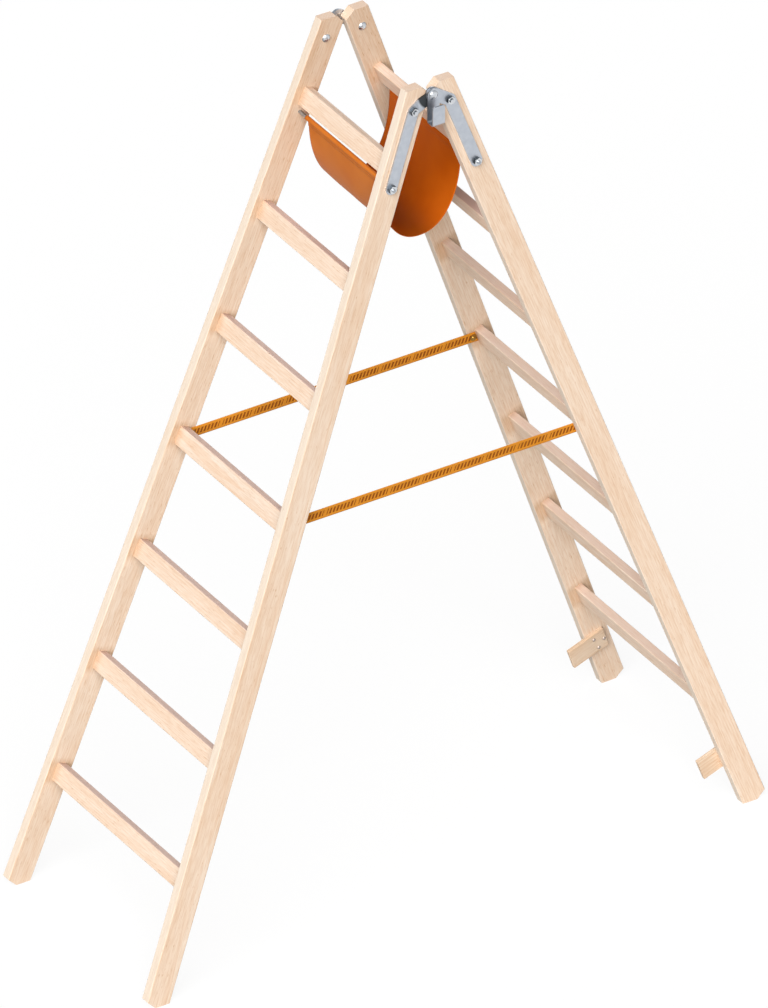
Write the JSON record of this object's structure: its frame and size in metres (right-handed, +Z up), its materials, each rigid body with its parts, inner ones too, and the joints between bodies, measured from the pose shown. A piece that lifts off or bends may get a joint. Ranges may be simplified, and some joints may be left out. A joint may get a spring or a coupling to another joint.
{
  "type": "folding wooden ladder",
  "caption": "Free-standing folding wooden ladder: rung flights hinged at the top by steel plates, with webbing straps that limit the spread, a tool sling and a bucket hook.",
  "frame": {"origin": "on the floor, at the middle of the four feet", "axes": "+Z up, +X from the front flight to the rear flight, +Y to the ladder's left side"},
  "size_m": [1.5814, 0.5952, 2.0281],
  "materials": {
    "pine": "planed and unpainted",
    "zinc_steel": "bright zinc plate",
    "sling_cloth": "coated woven cloth",
    "strap_webbing": "woven webbing"
  },
  "bodies": {
    "front_flight": {"front_hinge_bolts": "zinc_steel", "front_hinge_nuts": "zinc_steel", "front_hinge_plate_left": "zinc_steel", "front_hinge_plate_right": "zinc_steel", "front_rod_nuts": "zinc_steel", "front_rung_1": "pine", "front_rung_2": "pine", "front_rung_3": "pine", "front_rung_4": "pine", "front_rung_5": "pine", "front_rung_6": "pine", "front_rung_7": "pine", "front_sling_rod": "zinc_steel", "front_stile_left": "pine", "front_stile_right": "pine", "front_strap_screws": "zinc_steel", "front_strap_washers": "zinc_steel", "hinge_pivot_left": "zinc_steel", "hinge_pivot_right": "zinc_steel", "spreader_strap_left": "strap_webbing", "spreader_strap_right": "strap_webbing", "tool_sling": "sling_cloth"},
    "rear_flight": {"guide_board_screws": "zinc_steel", "rear_guide_board_left": "pine", "rear_guide_board_right": "pine", "rear_hinge_bolts": "zinc_steel", "rear_hinge_nuts": "zinc_steel", "rear_hinge_plate_left": "zinc_steel", "rear_hinge_plate_right": "zinc_steel", "rear_rod_nuts": "zinc_steel", "rear_rung_1": "pine", "rear_rung_2": "pine", "rear_rung_3": "pine", "rear_rung_4": "pine", "rear_rung_5": "pine", "rear_rung_6": "pine", "rear_rung_7": "pine", "rear_sling_rod": "zinc_steel", "rear_stile_left": "pine", "rear_stile_right": "pine", "rear_strap_screws": "zinc_steel", "rear_strap_washers": "zinc_steel"},
    "hook": {"bucket_hook": "zinc_steel"}
  },
  "joints": [
    {"name": "fold", "type": "hinge", "parent": "front_flight", "child": "rear_flight", "pos_m": [0, 0, 2.00811], "axis": [0, 1, 0], "range_deg": [0, 40], "deforming": ["spreader_strap_left", "spreader_strap_right", "tool_sling"]},
    {"name": "hook_swing", "type": "hinge", "parent": "front_flight", "child": "hook", "pos_m": [0, 0, 2.00811], "axis": [0, 1, 0], "range_deg": [0, 20]}
  ],
  "couplings": [
    {"joint": "hook_swing", "follows": "fold", "ratio": 0.5}
  ]
}
